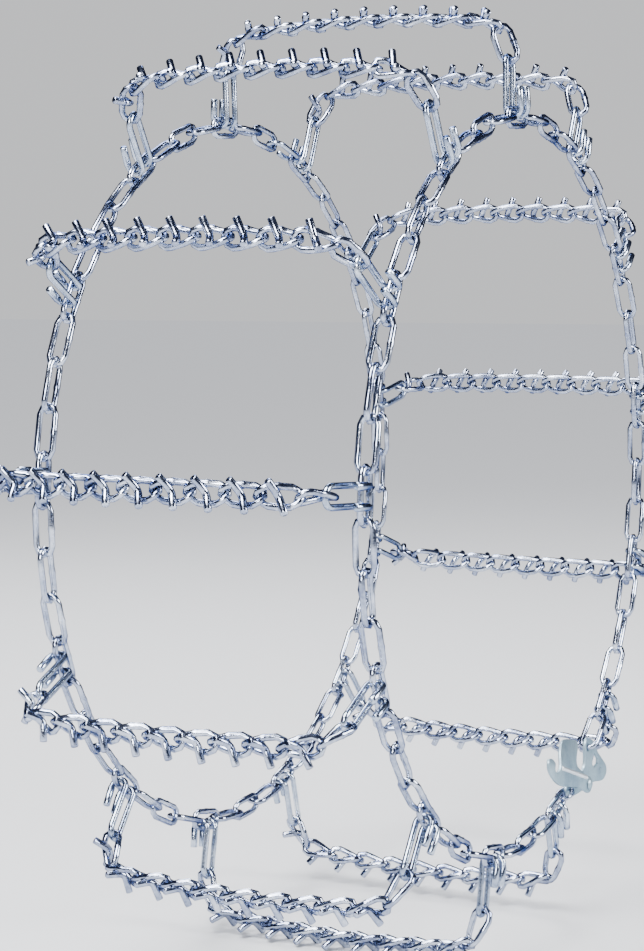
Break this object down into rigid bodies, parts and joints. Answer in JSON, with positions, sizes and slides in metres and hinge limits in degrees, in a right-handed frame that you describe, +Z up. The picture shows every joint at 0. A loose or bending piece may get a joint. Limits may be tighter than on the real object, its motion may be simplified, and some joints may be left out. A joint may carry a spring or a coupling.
{
  "type": "tire snow chains",
  "caption": "Ladder-type tire chain in its fitted shape: two ring side chains joined by twisted cross chains with V-bars, wire hooks and a plate lever fastener.",
  "frame": {"origin": "wheel centre: the axle line at the tyre's middle plane", "axes": "+Y along the axle towards the vehicle, so the outer side chain faces -Y; +Z up"},
  "size_m": [0.7402, 0.2782, 0.7398],
  "materials": {
    "chain_wire": "bright zinc plated, bluish",
    "hook_wire": "bright zinc plated wire",
    "pressed_plate": "satin zinc plated plate, pale blue grey"
  },
  "bodies": {
    "side_chains": {"OuterSideChain01": "chain_wire", "OuterSideChain02": "chain_wire", "OuterSideChain03": "chain_wire", "OuterSideChain04": "chain_wire", "OuterSideChain05": "chain_wire", "OuterSideChain06": "chain_wire", "OuterSideChain07": "chain_wire", "OuterSideChain08": "chain_wire", "OuterSideChain09": "chain_wire", "OuterSideChain10": "chain_wire", "OuterSideChain11": "chain_wire", "OuterSideChain12": "chain_wire", "OuterSideChain13": "chain_wire", "InnerSideChain1": "chain_wire", "InnerSideChain2": "chain_wire", "InnerSideChain3": "chain_wire", "InnerClosingHook": "hook_wire", "FastenerPlate": "pressed_plate", "FastenerRivet": "pressed_plate", "FastenerEndLink": "chain_wire"},
    "cross_chain_01": {"CrossChain01": "chain_wire", "CrossChain01_OuterHook": "hook_wire", "CrossChain01_InnerHook": "hook_wire"},
    "cross_chain_02": {"CrossChain02": "chain_wire", "CrossChain02_OuterHook": "hook_wire", "CrossChain02_InnerHook": "hook_wire"},
    "cross_chain_03": {"CrossChain03": "chain_wire", "CrossChain03_OuterHook": "hook_wire", "CrossChain03_InnerHook": "hook_wire"},
    "cross_chain_04": {"CrossChain04": "chain_wire", "CrossChain04_OuterHook": "hook_wire", "CrossChain04_InnerHook": "hook_wire"},
    "cross_chain_05": {"CrossChain05": "chain_wire", "CrossChain05_OuterHook": "hook_wire", "CrossChain05_InnerHook": "hook_wire"},
    "cross_chain_06": {"CrossChain06": "chain_wire", "CrossChain06_OuterHook": "hook_wire", "CrossChain06_InnerHook": "hook_wire"},
    "cross_chain_07": {"CrossChain07": "chain_wire", "CrossChain07_OuterHook": "hook_wire", "CrossChain07_InnerHook": "hook_wire"},
    "cross_chain_08": {"CrossChain08": "chain_wire", "CrossChain08_OuterHook": "hook_wire", "CrossChain08_InnerHook": "hook_wire"},
    "cross_chain_09": {"CrossChain09": "chain_wire", "CrossChain09_OuterHook": "hook_wire", "CrossChain09_InnerHook": "hook_wire"},
    "cross_chain_10": {"CrossChain10": "chain_wire", "CrossChain10_OuterHook": "hook_wire", "CrossChain10_InnerHook": "hook_wire"},
    "cross_chain_11": {"CrossChain11": "chain_wire", "CrossChain11_OuterHook": "hook_wire", "CrossChain11_InnerHook": "hook_wire"},
    "cross_chain_12": {"CrossChain12": "chain_wire", "CrossChain12_OuterHook": "hook_wire", "CrossChain12_InnerHook": "hook_wire"},
    "cross_chain_13": {"CrossChain13": "chain_wire", "CrossChain13_OuterHook": "hook_wire", "CrossChain13_InnerHook": "hook_wire"},
    "fastener_lever": {"FastenerLever": "pressed_plate"}
  },
  "joints": [
    {"name": "cross_chain_01_sway", "type": "hinge", "parent": "side_chains", "child": "cross_chain_01", "pos_m": [-0.01633, 0, 0.29214], "axis": [0, 1, 0], "range_deg": [-5, 5]},
    {"name": "cross_chain_02_sway", "type": "hinge", "parent": "side_chains", "child": "cross_chain_02", "pos_m": [-0.15023, 0, 0.25109], "axis": [0, 1, 0], "range_deg": [-5, 5]},
    {"name": "cross_chain_03_sway", "type": "hinge", "parent": "side_chains", "child": "cross_chain_03", "pos_m": [-0.24971, 0, 0.15251], "axis": [0, 1, 0], "range_deg": [-5, 5]},
    {"name": "cross_chain_04_sway", "type": "hinge", "parent": "side_chains", "child": "cross_chain_04", "pos_m": [-0.29198, 0, 0.019], "axis": [0, 1, 0], "range_deg": [-5, 5]},
    {"name": "cross_chain_05_sway", "type": "hinge", "parent": "side_chains", "child": "cross_chain_05", "pos_m": [-0.26737, 0, -0.11887], "axis": [0, 1, 0], "range_deg": [-5, 5]},
    {"name": "cross_chain_06_sway", "type": "hinge", "parent": "side_chains", "child": "cross_chain_06", "pos_m": [-0.1815, 0, -0.2295], "axis": [0, 1, 0], "range_deg": [-5, 5]},
    {"name": "cross_chain_07_sway", "type": "hinge", "parent": "side_chains", "child": "cross_chain_07", "pos_m": [-0.05406, 0, -0.28756], "axis": [0, 1, 0], "range_deg": [-5, 5]},
    {"name": "cross_chain_08_sway", "type": "hinge", "parent": "side_chains", "child": "cross_chain_08", "pos_m": [0.08577, 0, -0.27975], "axis": [0, 1, 0], "range_deg": [-5, 5]},
    {"name": "cross_chain_09_sway", "type": "hinge", "parent": "side_chains", "child": "cross_chain_09", "pos_m": [0.20595, 0, -0.20784], "axis": [0, 1, 0], "range_deg": [-5, 5]},
    {"name": "cross_chain_10_sway", "type": "hinge", "parent": "side_chains", "child": "cross_chain_10", "pos_m": [0.27895, 0, -0.08832], "axis": [0, 1, 0], "range_deg": [-5, 5]},
    {"name": "cross_chain_11_sway", "type": "hinge", "parent": "side_chains", "child": "cross_chain_11", "pos_m": [0.28804, 0, 0.05143], "axis": [0, 1, 0], "range_deg": [-5, 5]},
    {"name": "cross_chain_12_sway", "type": "hinge", "parent": "side_chains", "child": "cross_chain_12", "pos_m": [0.23115, 0, 0.1794], "axis": [0, 1, 0], "range_deg": [-5, 5]},
    {"name": "cross_chain_13_sway", "type": "hinge", "parent": "side_chains", "child": "cross_chain_13", "pos_m": [0.1213, 0, 0.26627], "axis": [0, 1, 0], "range_deg": [-5, 5]},
    {"name": "fastener_lever_swing", "type": "hinge", "parent": "side_chains", "child": "fastener_lever", "pos_m": [0.13198, -0.13875, -0.26247], "axis": [0, -1, 0], "range_deg": [0, 150]}
  ]
}
